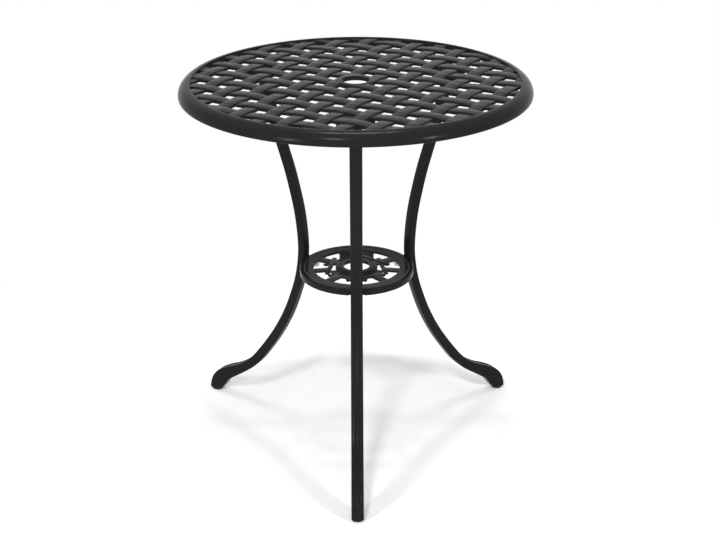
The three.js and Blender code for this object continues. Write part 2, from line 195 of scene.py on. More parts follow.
def sweep(name, loops):  # a closed skin through loops of points, extruded from one to the next
    piece = ringOf(name, loops[0])
    bpy.ops.mesh.select_all(action="SELECT")
    for last, loop in zip(loops, loops[1:]):
        bpy.ops.mesh.extrude_region_move()
        mesh = bmesh.from_edit_mesh(piece.data)
        for corner in mesh.verts:
            if corner.select:
                nearest = min(range(len(last)), key=lambda i: (last[i] - corner.co).length_squared)
                corner.co = loop[nearest]
        bmesh.update_edit_mesh(piece.data)
    bpy.ops.mesh.select_all(action="DESELECT")
    bpy.ops.mesh.select_non_manifold()
    bpy.ops.mesh.fill_holes(sides=0)
    closeUp(piece)
    return piece


def drilled(piece, radius, depth, middle, lying=False, sides=boreSides):  # upright, or lying along X
    bpy.ops.object.select_all(action="DESELECT")
    bpy.ops.mesh.primitive_cylinder_add(vertices=sides, radius=radius, depth=depth, location=middle,
                                        rotation=(0, math.pi / 2 if lying else 0, 0))
    combine(piece, bpy.context.object, "DIFFERENCE")


def plate(name, width, depth, low, high, middle, cornerRound, edgeRound):  # a rounded flat plate
    bpy.ops.object.select_all(action="DESELECT")
    bpy.ops.mesh.primitive_cube_add(size=1, location=(*middle, (low + high) / 2),
                                    scale=(width, depth, high - low))
    piece = bpy.context.object
    piece.name = name
    settle(piece)
    if cornerRound:
        startEditing(piece)
        bpy.ops.mesh.select_mode(type="EDGE")
        bpy.ops.mesh.select_all(action="DESELECT")
        mesh = bmesh.from_edit_mesh(piece.data)
        for edge in mesh.edges:
            along = edge.verts[0].co - edge.verts[1].co
            edge.select_set(abs(along.z) > max(abs(along.x), abs(along.y)))
        bmesh.update_edit_mesh(piece.data)
        bpy.ops.mesh.bevel(offset=cornerRound, segments=6)
        bpy.ops.object.mode_set(mode="OBJECT")
    if edgeRound:
        rounding = piece.modifiers.new("edges", "BEVEL")
        rounding.width = edgeRound
        rounding.segments = 3
        rounding.limit_method = "ANGLE"
        rounding.angle_limit = math.radians(50)
        applyModifier(piece, rounding)
    return piece


# Materials

def newMaterial(name, values):
    material = bpy.data.materials.new(name)
    material.use_nodes = True
    nodes, links = material.node_tree.nodes, material.node_tree.links
    shader = nodes["Principled BSDF"]
    for socket, value in values.items():
        shader.inputs[socket].default_value = value
    return material, nodes, links, shader


def noiseOf(nodes, links, scale, detail, stretch=(1, 1, 1)):
    coordinates = nodes.new("ShaderNodeTexCoord")
    mapping = nodes.new("ShaderNodeMapping")
    mapping.inputs["Scale"].default_value = stretch
    noise = nodes.new("ShaderNodeTexNoise")
    noise.inputs["Scale"].default_value = scale
    noise.inputs["Detail"].default_value = detail
    links.new(coordinates.outputs["Object"], mapping.inputs["Vector"])
    links.new(mapping.outputs["Vector"], noise.inputs["Vector"])
    return noise


def tint(nodes, links, noise, shader, dark, light, low=0.35, high=0.65):
    ramp = nodes.new("ShaderNodeValToRGB")
    ramp.color_ramp.elements[0].position = low
    ramp.color_ramp.elements[1].position = high
    ramp.color_ramp.elements[0].color = (*dark, 1)
    ramp.color_ramp.elements[1].color = (*light, 1)
    links.new(noise.outputs["Fac"], ramp.inputs["Fac"])
    links.new(ramp.outputs["Color"], shader.inputs["Base Color"])


def vary(nodes, links, noise, shader, socket, low, high):
    spread = nodes.new("ShaderNodeMapRange")
    spread.inputs["To Min"].default_value = low
    spread.inputs["To Max"].default_value = high
    links.new(noise.outputs["Fac"], spread.inputs["Value"])
    links.new(spread.outputs["Result"], shader.inputs[socket])


def relief(nodes, links, layers, shader):  # bumps laid one on another: (noise, depth, strength)
    last = None
    for noise, depth, strength in layers:
        bump = nodes.new("ShaderNodeBump")
        bump.inputs["Distance"].default_value = depth
        bump.inputs["Strength"].default_value = strength
        links.new(noise.outputs["Fac"], bump.inputs["Height"])
        if last:
            links.new(last.outputs["Normal"], bump.inputs["Normal"])
        last = bump
    links.new(last.outputs["Normal"], shader.inputs["Normal"])


def powderCoat():
    material, nodes, links, shader = newMaterial("powderCoat", {"Metallic": 0.0, "IOR": 1.5,
                                                                "Specular IOR Level": 0.045})
    fleck = noiseOf(nodes, links, 700, 3)
    peel = noiseOf(nodes, links, 420, 2)
    casting = noiseOf(nodes, links, 38, 3)
    tint(nodes, links, fleck, shader, (0.0135, 0.0135, 0.0137), (0.0205, 0.0205, 0.0209))
    vary(nodes, links, casting, shader, "Roughness", 0.16, 0.25)
    relief(nodes, links, [(casting, 0.0006, 0.25), (peel, 0.00012, 0.35), (fleck, 0.00004, 0.3)], shader)
    return material


def zincPlate():
    material, nodes, links, shader = newMaterial("zincPlate", {"Metallic": 1.0})
    bloom = noiseOf(nodes, links, 260, 4)
    turning = noiseOf(nodes, links, 900, 2, (1, 1, 6))
    tint(nodes, links, bloom, shader, (0.46, 0.47, 0.49), (0.62, 0.62, 0.60))
    vary(nodes, links, bloom, shader, "Roughness", 0.24, 0.42)
    relief(nodes, links, [(turning, 0.00005, 0.4)], shader)
    return material


def turnedBrass():
    material, nodes, links, shader = newMaterial("turnedBrass", {"Metallic": 1.0})
    tarnish = noiseOf(nodes, links, 240, 4)
    turning = noiseOf(nodes, links, 800, 2, (1, 1, 8))
    tint(nodes, links, tarnish, shader, (0.44, 0.30, 0.11), (0.62, 0.46, 0.20))
    vary(nodes, links, tarnish, shader, "Roughness", 0.28, 0.45)
    relief(nodes, links, [(turning, 0.00005, 0.4)], shader)
    return material


def blackNylon():
    material, nodes, links, shader = newMaterial("blackNylon", {"Metallic": 0.0, "IOR": 1.52})
    grain = noiseOf(nodes, links, 1400, 3)
    scuff = noiseOf(nodes, links, 160, 4)
    tint(nodes, links, scuff, shader, (0.009, 0.008, 0.008), (0.016, 0.014, 0.014))
    vary(nodes, links, scuff, shader, "Roughness", 0.5, 0.68)
    relief(nodes, links, [(grain, 0.00008, 0.4)], shader)
    return material


coat, zinc, brass, nylon = powderCoat(), zincPlate(), turnedBrass(), blackNylon()
print("materials made")


# Tabletop: woven lattice, rolled rim, umbrella boss and three bolting bosses, cast as one

top = {
    "radius": 0.300,
    "height": 0.670,
    "pitch": 0.04475,
    "stripWidth": 0.0224,
    "crest": 0.6684,          # top of a strip where it passes over
    "rise": 0.0018,           # a crest above an under-pass
    "bottom": 0.6624,
    "stripRound": 0.0016,     # rounding along a strip's edges
    "roundCuts": (1, 0.5, 0.14),    # cuts along that rounding, as shares of it
    "climbCuts": (0.0035, 0.0045),  # cuts past a crossing, and short of midway to the next
    "turn": -30,
    "blocks": 7,              # pairs of crossings along each side of the lattice
    "latticeRadius": 0.2803,
    "rimInner": 0.279,
    "rimBend": 0.019,
    "rimWall": 0.004,
    "rimDrop": 0.022,
    "rimSteps": 256,
    "rimBendSteps": 14,
    "rimStep": 0.0002,        # the rim's inner edge lies this much below its crown
    "rimInnerRound": 0.0007,
    "holeRadius": 0.0235,
    "holeChamfer": 0.0008,
    "bossRadius": 0.0325,
    "bossRounds": (0.001, 0.0008),  # along its lower and its upper edge
    "bossTop": 0.66855,       # a hair above the crests round it
    "bossDepth": 0.008,
}


def crossingCell(name, alongX):  # where two strips cross, from hole middle to hole middle
    half, width, soft = top["pitch"] / 2, top["stripWidth"] / 2, top["stripRound"]
    low = top["crest"] - top["rise"]
    foot = width + soft / 6  # foot of the step down to the strip below
    pastCrossing, beforeMiddle = top["climbCuts"]
    lines = [*(width - soft * share for share in top["roundCuts"]), width, foot,
             width + pastCrossing, half - beforeMiddle]
    bpy.ops.object.select_all(action="DESELECT")
    bpy.ops.mesh.primitive_plane_add(size=top["pitch"], location=(0, 0, 0))
    cell = bpy.context.object
    cell.name = name
    startEditing(cell)
    for line in lines:
        for way in ((1, 0, 0), (-1, 0, 0), (0, 1, 0), (0, -1, 0)):
            bpy.ops.mesh.select_all(action="SELECT")
            bpy.ops.mesh.bisect(plane_co=Vector(way) * line, plane_no=way)
    selectFaces(cell, lambda face: min(map(abs, face.calc_center_median()[:2])) > width)
    bpy.ops.mesh.delete(type="FACE")

    def rounding(across):
        into = max(0, abs(across) - (width - soft))
        return soft - math.sqrt(max(0, soft * soft - into * into))

    def climb(along):  # share of the rise: 1 over the crossing, a half midway to the next
        past = clamp((abs(along) - width) / (half - width))
        return 1 - 0.5 * math.sin(past * math.pi / 2) ** 2 if past < 1 else 0.5

    mesh = bmesh.from_edit_mesh(cell.data)
    for corner in mesh.verts:
        over, under = (corner.co.x, corner.co.y) if alongX else (corner.co.y, corner.co.x)
        if abs(under) <= width + mergeGap:
            corner.co.z = low + top["rise"] * climb(over) - rounding(under)
        else:
            corner.co.z = low + top["rise"] * (1 - climb(under)) - rounding(over)
    bmesh.update_edit_mesh(cell.data)
    bpy.ops.mesh.select_all(action="SELECT")
    bpy.ops.mesh.extrude_region_move(TRANSFORM_OT_translate={"value": (0, 0, -top["rise"] * 4)})
    bpy.ops.transform.resize(value=(1, 1, 0), center_override=(0, 0, top["bottom"]))
    selectFaces(cell, lambda face: face.calc_center_median().z < top["bottom"] + mergeGap)
    bpy.ops.mesh.dissolve_faces()
    selectFaces(cell, lambda face: max(map(abs, face.calc_center_median()[:2])) > half - mergeGap)
    bpy.ops.mesh.delete(type="ONLY_FACE")
    bpy.ops.object.mode_set(mode="OBJECT")
    return cell


def lattice():
    half = top["pitch"] / 2
    cells = []
    for column in (0, 1):
        for row in (0, 1):
            cell = crossingCell("weave", (column + row) % 2 == 1)
            cell.location = ((2 * column - 1) * half, (2 * row - 1) * half, 0)
            cells.append(cell)
    bpy.ops.object.select_all(action="DESELECT")
    for cell in cells:
        cell.select_set(True)
    bpy.context.view_layer.objects.active = cells[0]
    bpy.ops.object.join()
    weave = bpy.context.object
    settle(weave)
    step = 2 * top["pitch"]
    for way in ((step, 0, 0), (0, step, 0)):
        repeat = weave.modifiers.new("repeat", "ARRAY")
        repeat.use_relative_offset = False
        repeat.use_constant_offset = True
        repeat.constant_offset_displace = way
        repeat.count = top["blocks"]
        repeat.use_merge_vertices = True
        repeat.merge_threshold = mergeGap * 5
        applyModifier(weave, repeat)
    shift = -step * (top["blocks"] - 1) / 2
    weave.location = (shift, shift, 0)
    settle(weave)
    startEditing(weave)
    bpy.ops.mesh.select_all(action="SELECT")
    bpy.ops.mesh.remove_doubles(threshold=mergeGap * 5)
    bpy.ops.mesh.select_all(action="DESELECT")
    bpy.ops.mesh.select_non_manifold()
    bpy.ops.mesh.fill_holes(sides=0)
    bpy.ops.mesh.select_all(action="SELECT")
    bpy.ops.mesh.normals_make_consistent(inside=False)
    bpy.ops.object.mode_set(mode="OBJECT")
    bpy.ops.mesh.primitive_cylinder_add(vertices=top["rimSteps"], radius=top["latticeRadius"], depth=0.1,
                                        location=(0, 0, top["bottom"]))
    combine(weave, bpy.context.object, "INTERSECT")
    return weave


def rimOutline():
    bend, wall = top["rimBend"], top["rimWall"]
    middle = Vector((top["radius"] - bend, top["height"] - bend))
    turns = [math.pi / 2 * step / top["rimBendSteps"] for step in range(top["rimBendSteps"] + 1)]
    outer = [middle + bend * Vector((math.sin(turn), math.cos(turn))) for turn in turns]
    inner = [middle + (bend - wall) * Vector((math.sin(turn), math.cos(turn)))
             for turn in reversed(turns)]
    low = top["height"] - top["rimDrop"]
    lip = softCorners([(top["radius"], middle.y, 0), (top["radius"] - wall / 8, low, wall / 3),
                       (top["radius"] - wall, low, wall / 3), (top["radius"] - wall, middle.y, 0)], 4)[1:-1]
    crown = softCorners([(top["rimInner"], top["bottom"], 0),
                         (top["rimInner"], top["height"] - top["rimStep"], top["rimInnerRound"]),
                         (middle.x, top["height"], 0)], 3)[:-1]
    return [*outer, *lip, *inner, *crown]


tabletop = lattice()
print("weave made:", len(tabletop.data.polygons), "faces")
combine(tabletop, turned("rim", rimOutline(), top["rimSteps"]), "UNION")
print("rim joined:", len(tabletop.data.polygons), "faces")

bolting = {
    "middle": 0.1885,        # from the table's axis
    "breadth": 0.032,
    "length": 0.062,
    "corner": 0.006,
    "low": 0.6523,
    "high": 0.6645,
    "holeRadius": 0.0033,
    "holeSpacing": 0.042,
    "holeTop": 0.6618,
    "flangeLow": 0.0063,     # how far below the boss a leg's flange ends, and where it starts
    "flangeHigh": 0.0003,
    "flangeEdge": 0.0007,
    "flangeBore": 0.03,      # length of the cutter
}
bossBottom, bossTop = top["bossTop"] - top["bossDepth"], top["bossTop"]
bossPlaces = ((0, bossBottom), (top["bossRadius"], bossBottom), (top["bossRadius"], bossTop), (0, bossTop))
bossOutline = softOutline(bossPlaces, (0, *top["bossRounds"], 0), 3)
combine(tabletop, turned("boss", bossOutline, roundSides), "UNION")
bore, chamfer = top["holeRadius"], top["holeChamfer"]
holeBottom, holeTop = top["bottom"] - 2 * spare, bossTop + spare
holeOutline = [(0, holeBottom), (bore, holeBottom), (bore, bossTop - chamfer), (bore + chamfer, bossTop),
               (bore + chamfer, holeTop), (0, holeTop)]
combine(tabletop, turned("hole", holeOutline, roundSides), "DIFFERENCE")
for side, turn in legTurns.items():
    boss = plate("pad", bolting["breadth"], bolting["length"], bolting["low"], bolting["high"],
                 (bolting["middle"], 0), bolting["corner"], 0)
    for across in (-1, 1):
        drilled(boss, bolting["holeRadius"], bolting["holeTop"] - bolting["low"] + spare,
                (bolting["middle"], across * bolting["holeSpacing"] / 2,
                 (bolting["holeTop"] + bolting["low"] - spare) / 2))
    boss.rotation_euler.z = math.radians(turn - top["turn"])
    settle(boss)
    combine(tabletop, boss, "UNION")
weaveTurn = Matrix.Rotation(math.radians(top["turn"]), 4, "Z")
tabletop.matrix_world = Matrix.Translation(tableAxis) @ weaveTurn
settle(tabletop)
tabletop.name = "tabletopCasting"
smoothBy(tabletop, 32)
handOver(tabletop, "root", "powder_coat", coat, "tabletop")
print("tabletop done:", len(tabletop.data.polygons), "faces")

# Legs: an S-curved bar fluted down its outward face, a hoof foot and a bolting flange, cast as one

leg = {
    "path": [(0.1885, 0.649), (0.1715, 0.5936), (0.1545, 0.5402), (0.1373, 0.4901), (0.1238, 0.44),
             (0.1149, 0.3949), (0.1106, 0.338), (0.1168, 0.2866), (0.1289, 0.2451), (0.1444, 0.2052),
             (0.1652, 0.1649), (0.1892, 0.1281), (0.2125, 0.097)],    # out from the axis, and height
    "footTop": [(0.232, 0.0892), (0.2477, 0.0765), (0.2667, 0.0656), (0.2858, 0.0573), (0.3023, 0.0485),
                (0.311, 0.0418), (0.3163, 0.036), (0.3202, 0.0307), (0.3227, 0.0257), (0.3261, 0.0159),
                (0.328, 0.0043)],
    "footHeel": [(0.2224, 0.0738), (0.2367, 0.062), (0.2557, 0.0487), (0.2749, 0.0359), (0.2846, 0.0286),
                 (0.291, 0.0202), (0.2975, 0.0114), (0.3034, 0.0043)],
    "width": 0.021,
    "depths": [(0.649, 0.0125), (0.338, 0.0135), (0.048, 0.019)],     # depth of the bar at a height
    "corner": 0.003,
    "cornerSteps": 5,
    "soleCorner": 0.0042,     # a little rounder towards the sole
    "soleHeight": 0.0043,
    "soleMargin": 0.0002,
    "soleBevel": 0.0008,
    "downward": -0.7,         # a face whose normal falls below this looks down
    "kneeHeight": 0.05,
    "pathSkip": 5,            # every fifth point of the path's curve gives an edge point
    "bodySkip": 4,            # every fourth point of the body's curve carries a section
    "footSteps": 36,
    "fluteWidth": 0.0084,
    "fluteDepth": 0.0019,
    "fluteTop": 0.638,
    "fluteEnd": 0.012,
    "fluteFade": 0.012,
    "fluteMargin": 0.0004,    # between the flute and the rounded corner
    "fluteSection": ((1, 0), (0.85, 0.28), (0.68, 0.54), (0.45, 0.8), (0.16, 0.98), (-0.16, 0.98),
                     (-0.45, 0.8), (-0.68, 0.54), (-0.85, 0.28), (-1, 0)),  # shares of width and depth
    "soleBore": 0.0065,
    "soleBoreTop": 0.0208,
    "footMiddle": 0.3157,
    "tapRadius": 0.0033,
    "tapFrom": 0.09,
    "tapTip": 0.1137,
    "tapHeight": 0.3142,
}


curveSteps = 10


def smoothCurve(points):  # a curve through all the points, and its length up to each
    line = [Vector(p) for p in points]
    line = [2 * line[0] - line[1], *line, 2 * line[-1] - line[-2]]
    dense = []
    for i in range(1, len(line) - 2):
        a, b, c, d = line[i - 1:i + 3]
        for step in range(curveSteps):
            t = step / curveSteps
            dense.append(b + (c - a) * (t / 2) + (a - 2.5 * b + 2 * c - 0.5 * d) * t ** 2
                         + (1.5 * b - 0.5 * a - 1.5 * c + 0.5 * d) * t ** 3)
    dense.append(line[-2])
    lengths = [0]
    for before, after in zip(dense, dense[1:]):
        lengths.append(lengths[-1] + (after - before).length)
    return dense, lengths


def pointAt(curve, first, share):  # a share of the way from the curve's first-th point to its end
    dense, lengths = curve
    goal = lengths[first] + share * (lengths[-1] - lengths[first])
    for i in range(first + 1, len(dense)):
        if lengths[i] >= goal or i == len(dense) - 1:
            within = (goal - lengths[i - 1]) / (lengths[i] - lengths[i - 1])
            return dense[i - 1].lerp(dense[i], min(1, within))


def depthAt(height):
    for (highAt, highDepth), (lowAt, lowDepth) in zip(leg["depths"], leg["depths"][1:]):
        if height >= lowAt:
            return lowDepth + (highDepth - lowDepth) * (height - lowAt) / (highAt - lowAt)
    return leg["depths"][-1][1]


def legStations():  # pairs of points, on the outward and the inward edge
    dense, _ = smoothCurve(leg["path"])
    outer, inner = [], []
    for i in range(0, len(dense), leg["pathSkip"]):
        along = (dense[min(i + 1, len(dense) - 1)] - dense[max(i - 1, 0)]).normalized()
        half = depthAt(dense[i].y) / 2
        outer.append(dense[i] + Vector((-along.y, along.x)) * half)
        inner.append(dense[i] + Vector((along.y, -along.x)) * half)
    last = (len(outer) - 1) * curveSteps
    outer, inner = smoothCurve([*outer, *leg["footTop"]]), smoothCurve([*inner, *leg["footHeel"]])
    body = [(outer[0][i], inner[0][i]) for i in range(0, last, leg["bodySkip"])]
    shares = [step / leg["footSteps"] for step in range(leg["footSteps"] + 1)]
    return body + [(pointAt(outer, last, share), pointAt(inner, last, share)) for share in shares]


def legLoop(outerPoint, innerPoint):
    middle = (outerPoint + innerPoint) / 2
    outward = outerPoint - innerPoint
    half = outward.length / 2
    outward.normalize()
    height = outerPoint.y
    turnIn = clamp(1 - (height - leg["soleHeight"]) / leg["kneeHeight"])
    rounded = leg["corner"] + (leg["soleCorner"] - leg["corner"]) * turnIn ** 2
    wide = leg["width"] / 2
    fromTop, fromEnd = leg["fluteTop"] - height, height - leg["fluteEnd"]
    deep = leg["fluteDepth"] * (clamp(fromTop / leg["fluteFade"]) * clamp(fromEnd / leg["fluteFade"]))
    reach = min(leg["fluteWidth"] / 2, wide - rounded - leg["fluteMargin"])
    flute = [(share * reach, half - deep * part) for share, part in leg["fluteSection"]]
    corners = ((-wide, half), (-wide, -half), (wide, -half), (wide, half))
    bar = softOutline(corners, (rounded,) * 4, leg["cornerSteps"])
    return [Vector((middle.x + outward.x * up, across, middle.y + outward.y * up))
            for across, up in (*bar, *flute)]


def castLeg():
    bar = sweep("leg", [legLoop(outward, inward) for outward, inward in legStations()])
    print("leg bar:", len(bar.data.polygons), "faces")
    startEditing(bar)
    selectFaces(bar, lambda face: face.calc_center_median().z < leg["soleHeight"] + leg["soleMargin"]
                and face.normal.z < leg["downward"])
    bpy.ops.mesh.bevel(offset=leg["soleBevel"], segments=3)
    bpy.ops.object.mode_set(mode="OBJECT")
    flange = plate("flange", bolting["breadth"], bolting["length"], bolting["low"] - bolting["flangeLow"],
                   bolting["low"] - bolting["flangeHigh"], (bolting["middle"], 0), bolting["corner"],
                   bolting["flangeEdge"])
    for across in (-1, 1):
        drilled(flange, bolting["holeRadius"], bolting["flangeBore"],
                (bolting["middle"], across * bolting["holeSpacing"] / 2, bolting["low"]))
    combine(bar, flange, "UNION")
    drilled(bar, leg["soleBore"], leg["soleBoreTop"] + 2 * spare,
            (leg["footMiddle"], 0, (leg["soleBoreTop"] - 2 * spare) / 2))
    drilled(bar, leg["tapRadius"], leg["tapTip"] - leg["tapFrom"],
            ((leg["tapTip"] + leg["tapFrom"]) / 2, 0, leg["tapHeight"]), lying=True)
    smoothBy(bar, 38)
    return bar


def spreadToLegs(pattern, name, body, slotName, material, node, place=Matrix()):  # one copy a leg
    for side in legTurns:
        piece = copyOf(pattern, name + side.capitalize(), atLeg(side) @ place)
        handOver(piece, body.format(side), slotName, material, node.format(side))
    bpy.data.objects.remove(pattern)


spreadToLegs(castLeg(), "leg", "root", "powder_coat", coat, "leg_{}")
print("legs done")


# Shelf: skirted ring, raised hub and a lattice of struts, bars and spokes, cast as one

shelf = {
    "radius": 0.1015,
    "height": 0.325,
    "skirt": 0.012,
    "skirtWall": 0.004,
    "plate": 0.0045,
    "skirtTaper": 0.0006,
    "ringInner": 0.0765,
    "ringLip": (0.0075, 0.0095, 0.0007),     # from and to inwards of the edge, and its drop
    "ringRounds": (0.0006, 0.0012, 0.0008, 0.0008, 0.0018, 0.0012, 0.0012, 0.0009),
    "hubRadius": 0.0375,
    "collarRadius": 0.033,
    "collarRise": 0.003,
    "collarFoot": 0.0012,
    "hubStep": 0.0001,        # keeps the hub's faces off the plate's
    "hubRounds": (0, 0.0006, 0.0012, 0.0008, 0.0012, 0),
    "hubHole": 0.024,
    "recessRadius": 0.0285,
    "recess": 0.0016,
    "bars": {    # width, from and to along the radius, turns, rise above the underside, drop below the top
        "strutLeft": (0.072, 0.0425, 0.0505, (-110, 10, 130), 0.0001, 0.0017),
        "strutRight": (0.072, 0.0425, 0.0505, (-70, 50, 170), 0.0003, 0.0008),
        "bar": (0.016, 0.0465, None, (-130, -50, -10, 70, 110, 190), 0.0005, 0.00125),
        "spoke": (0.018, 0.030, None, (-90, 30, 150), 0.0007, 0.0011),
        "rearPlate": (0.062, 0.042, None, (90,), 0.0009, 0.00095),
    },
    "apronRadius": 0.05,
    "apronTurn": 72,
    "apronSteps": 20,
    "apronRise": 0.0006,
    "apronDrop": 0.0014,
    "barReach": 0.003,        # how far a bar runs into the ring
    "notch": 0.027,
    "notchGap": 0.0003,
    "lug": (0.0855, 0.1044, 0.015),   # from, to and width
    "lugLean": 0.0017,        # its end follows the leg's slope
    "lugLow": 0.3082,
    "lugDrop": 0.0015,
    "screwHeight": 0.3142,
    "screwBore": (0.1, 0.05),  # middle and length of the cutter
    "edge": 0.0006,
    "steps": 160,
}


def turnedBy(piece, degrees):
    piece.rotation_euler.z = math.radians(degrees)
    settle(piece)
    return piece


def shelfRing():
    high, outer, inner = shelf["height"], shelf["radius"], shelf["ringInner"]
    low, under, wall = high - shelf["skirt"], high - shelf["plate"], outer - shelf["skirtWall"]
    lipFrom, lipTo, lipDrop = shelf["ringLip"]
    places = ((inner, under), (wall, under), (wall, low), (outer - shelf["skirtTaper"], low), (outer, high),
              (outer - lipFrom, high), (outer - lipTo, high - lipDrop), (inner, high - lipDrop))
    ring = turned("shelfRing", softOutline(places, shelf["ringRounds"], 4), shelf["steps"])
    reach = (outer + spare) - (wall - shelf["notchGap"])
    for turn in legTurns.values():
        notch = plate("notch", reach, shelf["notch"], low - spare, under,
                      (outer + spare - reach / 2, 0), 0, 0)
        combine(ring, turnedBy(notch, turn), "DIFFERENCE")
    return ring


def shelfLattice():  # each kind of bar has its own heights, as those of one kind never cross
    low, end = shelf["height"] - shelf["plate"], shelf["ringInner"] + shelf["barReach"]
    parts = []
    for kind, (width, near, far, turns, rise, drop) in shelf["bars"].items():
        for turn in turns:
            bar = plate(kind, (far or end) - near, width, low + rise, shelf["height"] - drop,
                        (((far or end) + near) / 2, 0), 0, shelf["edge"])
            parts.append(turnedBy(bar, turn))
    return parts


def apron():
    radius, turn, steps = shelf["apronRadius"], math.radians(shelf["apronTurn"]), shelf["apronSteps"]
    low = shelf["height"] - shelf["plate"] + shelf["apronRise"]
    high = shelf["height"] - shelf["apronDrop"]
    turns = [turn * step / steps for step in range(-steps, steps + 1)]
    outline = [(0, 0), *((radius * math.sin(angle), -radius * math.cos(angle)) for angle in turns)]
    return sweep("apron", [[Vector((*place, height)) for place in outline] for height in (low, high)])


def castShelf():
    high, under = shelf["height"], shelf["height"] - shelf["plate"]
    body = shelfRing()
    for part in shelfLattice():
        combine(body, part, "UNION")
    combine(body, apron(), "UNION")
    hubRadius, collar, raised = shelf["hubRadius"], shelf["collarRadius"], high + shelf["collarRise"]
    places = ((0, under), (hubRadius, under - shelf["hubStep"]), (hubRadius, high),
              (collar + shelf["collarFoot"], high + shelf["hubStep"]), (collar, raised), (0, raised))
    combine(body, turned("hub", softOutline(places, shelf["hubRounds"], 4), roundSides), "UNION")
    low = under - spare
    for radius, upTo in ((shelf["hubHole"], high + spare), (shelf["recessRadius"], under + shelf["recess"])):
        drilled(body, radius, upTo - low, (0, 0, (low + upTo) / 2), sides=roundSides)
    near, far, width = shelf["lug"]
    boreMiddle, boreLength = shelf["screwBore"]
    for turn in legTurns.values():
        lug = plate("lug", far - near, width, shelf["lugLow"], high - shelf["lugDrop"],
                    ((near + far) / 2, 0), 0, 0)
        startEditing(lug)
        selectVerts(lug, lambda place: place.x > (near + far) / 2 and place.z < under)
        bpy.ops.transform.translate(value=(shelf["lugLean"], 0, 0))
        bpy.ops.object.mode_set(mode="OBJECT")
        combine(body, turnedBy(lug, turn), "UNION")
        bpy.ops.object.select_all(action="DESELECT")
        bpy.ops.mesh.primitive_cylinder_add(vertices=boreSides, radius=leg["tapRadius"], depth=boreLength,
                                            location=(boreMiddle, 0, shelf["screwHeight"]),
                                            rotation=(0, math.pi / 2, 0))
        bore = bpy.context.object
        settle(bore)
        combine(body, turnedBy(bore, turn), "DIFFERENCE")
    return body


shelfCasting = castShelf()
shelfCasting.name = "shelfCasting"
shelfCasting.location = tableAxis
settle(shelfCasting)
smoothBy(shelfCasting, 35)
handOver(shelfCasting, "root", "powder_coat", coat, "shelf")
print("shelf done:", len(shelfCasting.data.polygons), "faces")


# Bolts, screws and washers, all M6

fastener = {
    "radius": 0.003,
    "core": 0.00245,
    "pitch": 0.001,
    "across": 0.01,           # head across its flats
    "headHeight": 0.004,
    "chamferHeight": 0.0007,
    "chamferShares": (0.93, 1.02),           # of the flats' radius, and of the corners'
    "overlap": 0.001,
    "hair": 0.00001,
    "sides": 48,              # of whatever is round
    "washer": (0.0033, 0.006, 0.0016),       # bore, outer radius and thickness
    "washerRounds": (0.0002, 0.0003, 0.0003, 0.0002),
    "springWasher": (0.0033, 0.0054, 0.0016),
    "springWasherRounds": (0.0002, 0.0002, 0.0002, 0.0002),
    "split": 0.001,
    "topShank": 0.0189,
    "topBase": 0.6379,        # underside of the head
    "springBase": 0.6422,
    "washerBase": 0.6441,
    "shelfShank": 0.02937,
    "shelfFace": 0.0793,      # inner end of the shelf screw's head, from the axis
    "shelfWasher": 0.0836,
}


threadRoot, threadFlank = 0.12, 0.74  # shares of half a turn: flat at the root, and rising


def thread(name, radius, core, pitch, low, high, around, rowsPerTurn, bevel):
    rows = round((high - low) / pitch * rowsPerTurn)
    loops = []
    for row in range(rows + 1):
        height = low + (high - low) * row / rows
        most = min(radius, core + max(0, high - height) * bevel, core + max(0, height - low) * bevel)
        loop = []
        for step in range(around):
            phase = (height / pitch - step / around) % 1
            crest = clamp((abs(2 * phase - 1) - threadRoot) / threadFlank)
            reach = min(most, core + (radius - core) * crest)
            turn = math.tau * step / around
            loop.append(Vector((reach * math.cos(turn), reach * math.sin(turn), height)))
        loops.append(loop)
    return sweep(name, loops)


def hexBolt(name, shank):  # standing on its head
    corner, height = fastener["across"] / math.sqrt(3), fastener["headHeight"]
    bpy.ops.object.select_all(action="DESELECT")
    bpy.ops.mesh.primitive_cylinder_add(vertices=6, radius=corner, depth=height, location=(0, 0, height / 2))
    head = bpy.context.object
    head.name = name
    settle(head)
    flatShare, cornerShare = fastener["chamferShares"]
    flat, wide = fastener["across"] / 2 * flatShare, corner * cornerShare
    below, above = -fastener["hair"], height + fastener["overlap"]
    outline = [(0, below), (flat, below), (wide, fastener["chamferHeight"]), (wide, above), (0, above)]
    combine(head, turned("chamfer", outline, fastener["sides"]), "INTERSECT")
    rod = thread("rod", fastener["radius"], fastener["core"], fastener["pitch"],
                 height - fastener["overlap"], height + shank, around=20, rowsPerTurn=6, bevel=1)
    combine(head, rod, "UNION")
    smoothBy(head, 32)
    return head


def washerSection(kind, steps):
    bore, outer, thick = fastener[kind]
    places = ((bore, 0), (outer, 0), (outer, thick), (bore, thick))
    return softOutline(places, fastener[kind + "Rounds"], steps)


def flatWasher():
    washer = turned("washer", washerSection("washer", 3), fastener["sides"])
    smoothBy(washer, 40)
    return washer


def splitWasher():
    section = washerSection("springWasher", 2)
    bore, outer, _ = fastener["springWasher"]
    gap = fastener["split"] / (bore + outer)
    loops = []
    for step in range(fastener["sides"] + 1):
        turn = gap + (math.tau - 2 * gap) * step / fastener["sides"]
        loops.append([Vector((r * math.cos(turn), r * math.sin(turn), z)) for r, z in section])
    washer = sweep("springWasher", loops)
    smoothBy(washer, 40)
    return washer


